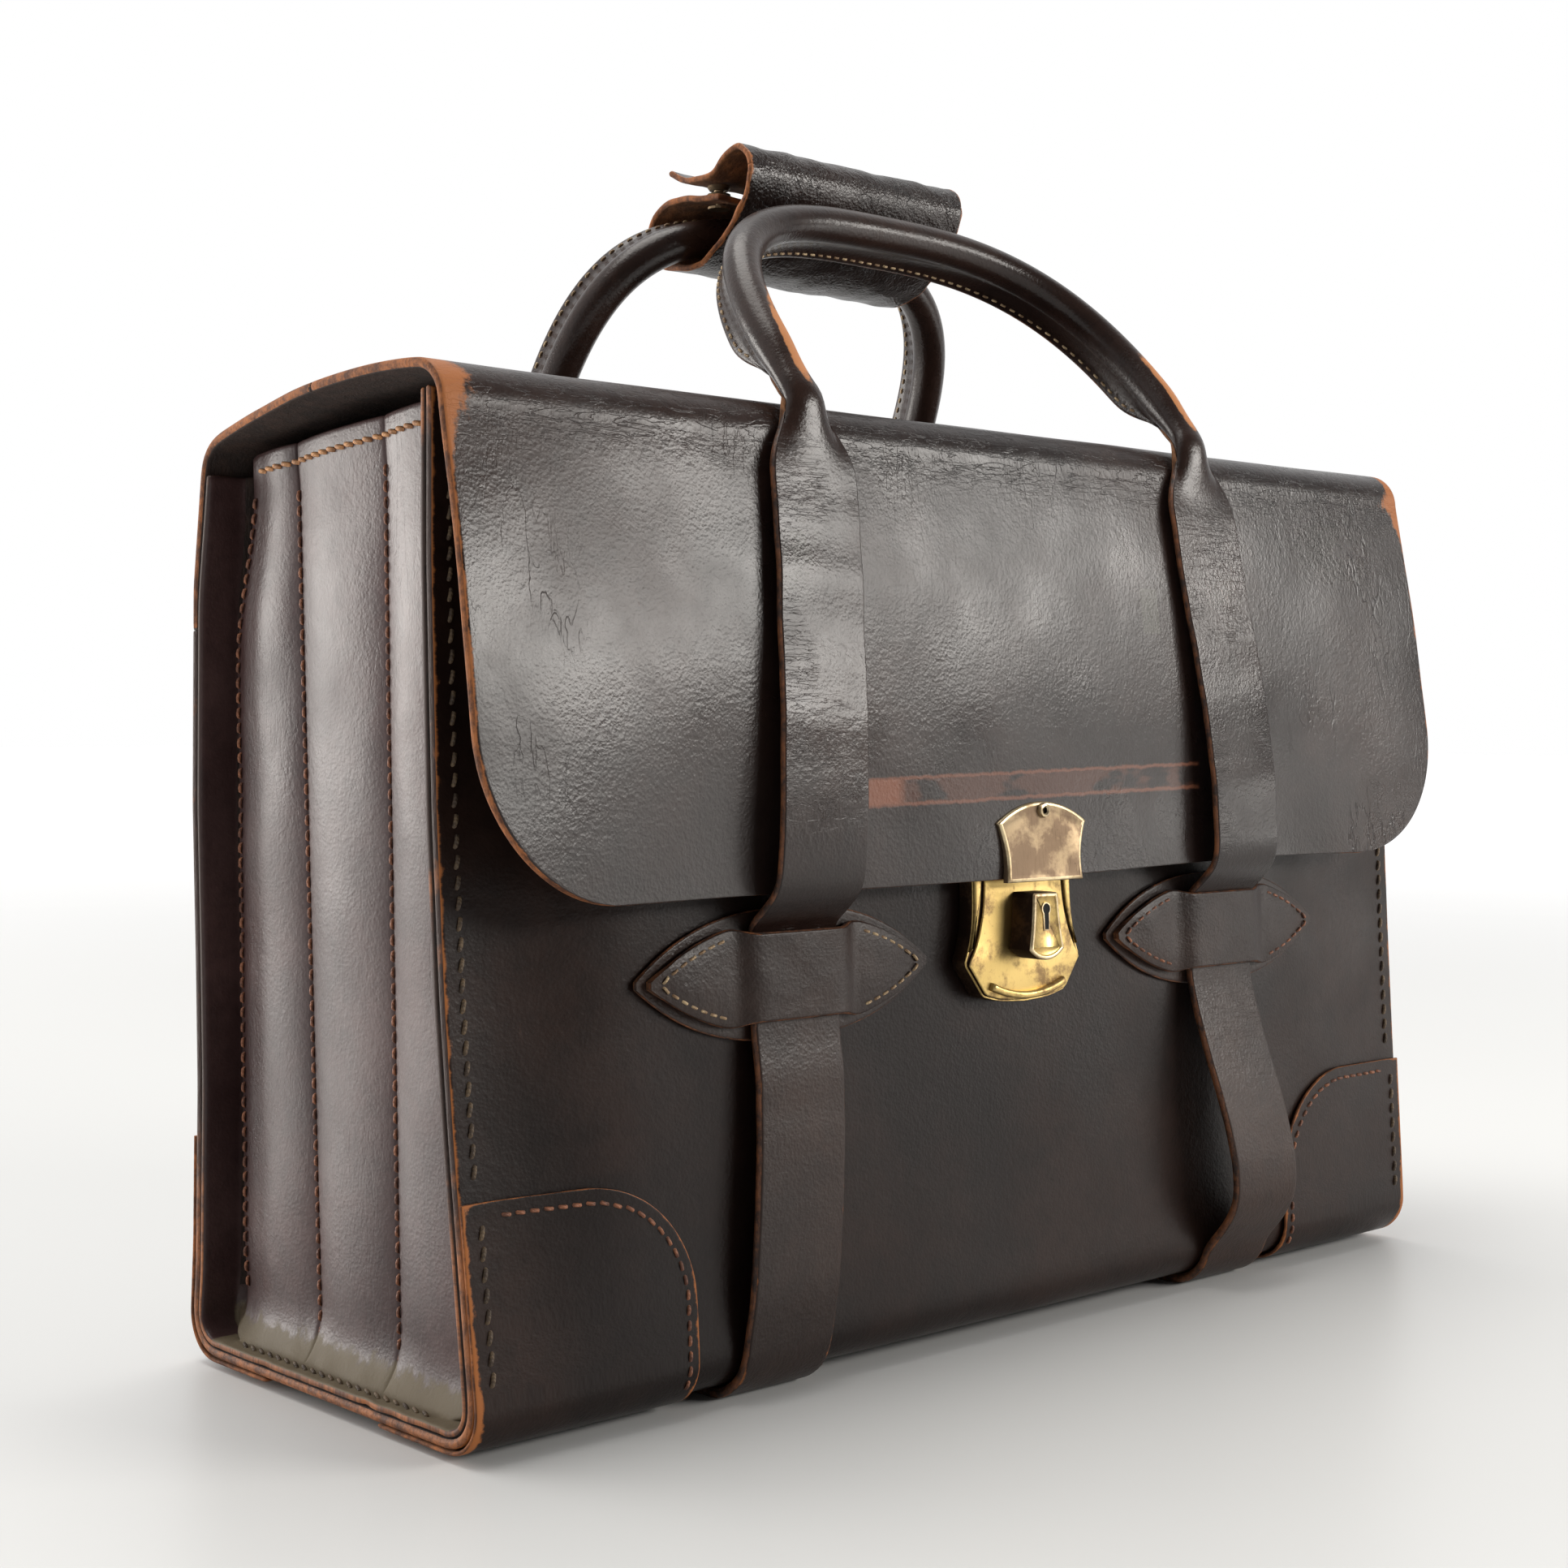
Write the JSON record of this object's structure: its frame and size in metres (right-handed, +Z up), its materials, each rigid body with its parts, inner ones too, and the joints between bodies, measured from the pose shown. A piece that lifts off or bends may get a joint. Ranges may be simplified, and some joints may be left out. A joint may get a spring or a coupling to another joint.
{
  "type": "doctor bag",
  "caption": "Leather doctor bag with a folding flap, rolled handles on straps through keepers, a thumb-slide lock and a grip wrap held by press studs.",
  "frame": {"origin": "middle of the footprint, on the surface that the strap undersides stand on", "axes": "+X along the length, to the right seen from the front; -Y out of the front panel with the lock; +Z up"},
  "size_m": [0.467, 0.1934, 0.4092],
  "materials": {
    "body_leather": "worn semi-gloss dark brown bridle leather",
    "gusset_leather": "softer purple-brown leather, satin",
    "strap_leather": "dark brown strap leather with raw orange-brown edges",
    "lining_leather": "unfinished flesh side, matt",
    "handle_rope": "laid rope",
    "brass": "polished yellow brass, tarnished in the corners",
    "nickel_brass": "worn brown nickel-brass",
    "steel": "plain"
  },
  "bodies": {
    "shell": {"body_wrap": "body_leather", "left_gusset": "gusset_leather", "right_gusset": "gusset_leather", "front_divider": "lining_leather", "rear_divider": "lining_leather", "front_left_patch": "body_leather", "front_right_patch": "body_leather", "rear_left_patch": "body_leather", "rear_right_patch": "body_leather", "front_left_keeper_pad": "strap_leather", "front_right_keeper_pad": "strap_leather", "rear_left_keeper_pad": "strap_leather", "rear_right_keeper_pad": "strap_leather", "front_left_keeper": "strap_leather", "front_right_keeper": "strap_leather", "rear_left_keeper": "strap_leather", "rear_right_keeper": "strap_leather", "left_strap": "strap_leather", "right_strap": "strap_leather", "lock_case": "brass", "lock_back_plate": "steel", "lock_screw_1": "steel", "lock_screw_2": "steel", "lock_screw_3": "steel", "lock_screw_4": "steel", "slide_spring": "steel"},
    "flap_lid": {"flap_top": "body_leather"},
    "flap_fall": {"flap_front": "body_leather", "hasp_plate": "nickel_brass", "hasp_backing": "steel", "hasp_rivet": "nickel_brass"},
    "front_grip": {"front_handle": "strap_leather", "front_handle_core": "handle_rope"},
    "rear_grip": {"rear_handle": "strap_leather", "rear_handle_core": "handle_rope", "grip_wrap": "strap_leather", "snap_stud_left": "nickel_brass", "snap_stud_right": "nickel_brass", "snap_post_left": "nickel_brass", "snap_post_right": "nickel_brass"},
    "wrap_flap": {"wrap_leaf": "strap_leather", "snap_cap_left": "nickel_brass", "snap_cap_right": "nickel_brass", "snap_socket_left": "nickel_brass", "snap_socket_right": "nickel_brass"},
    "thumb_slide": {"lock_slide": "brass", "slide_plate": "steel"},
    "key_lever": {"key_plug": "steel"},
    "dead_bolt": {"lock_bolt": "steel"}
  },
  "joints": [
    {"name": "front_handle_swing", "type": "hinge", "parent": "shell", "child": "front_grip", "pos_m": [0, -0.0845, 0.152], "axis": [1, 0, 0], "range_deg": [0, 120]},
    {"name": "rear_handle_swing", "type": "hinge", "parent": "shell", "child": "rear_grip", "pos_m": [0, 0.0815, 0.152], "axis": [-1, 0, 0], "range_deg": [0, 120]},
    {"name": "flap_lift", "type": "hinge", "parent": "shell", "child": "flap_lid", "pos_m": [0, 0.0701, 0.2862], "axis": [-1, 0, 0], "range_deg": [0, 102]},
    {"name": "flap_fold", "type": "hinge", "parent": "flap_lid", "child": "flap_fall", "pos_m": [0, -0.058, 0.3085], "axis": [1, 0, 0], "range_deg": [0, 46.2]},
    {"name": "wrap_leaf_lift", "type": "hinge", "parent": "rear_grip", "child": "wrap_flap", "pos_m": [0, 0.0123, 0.4096], "axis": [1, 0, 0], "range_deg": [0, 100]},
    {"name": "thumb_slide_push", "type": "slide", "parent": "shell", "child": "thumb_slide", "axis": [0, -0.0529, -0.9986], "range_m": [0, 0.004], "stiffness_N_per_m": 200, "springref_m": -0.003, "deforming": ["slide_spring"]},
    {"name": "key_turn", "type": "hinge", "parent": "thumb_slide", "child": "key_lever", "pos_m": [0, -0.084, 0.1415], "axis": [0, -1, 0], "range_deg": [0, 90]},
    {"name": "bolt_throw", "type": "slide", "parent": "shell", "child": "dead_bolt", "axis": [-1, 0, 0], "range_m": [0, 0.004]}
  ],
  "couplings": [
    {"joint": "rear_handle_swing", "follows": "front_handle_swing", "ratio": 1},
    {"joint": "flap_lift", "follows": "front_handle_swing", "ratio": 0.85},
    {"joint": "flap_fold", "follows": "front_handle_swing", "ratio": 0.385},
    {"joint": "key_turn", "follows": "bolt_throw", "rad_per_m": 392.6}
  ]
}
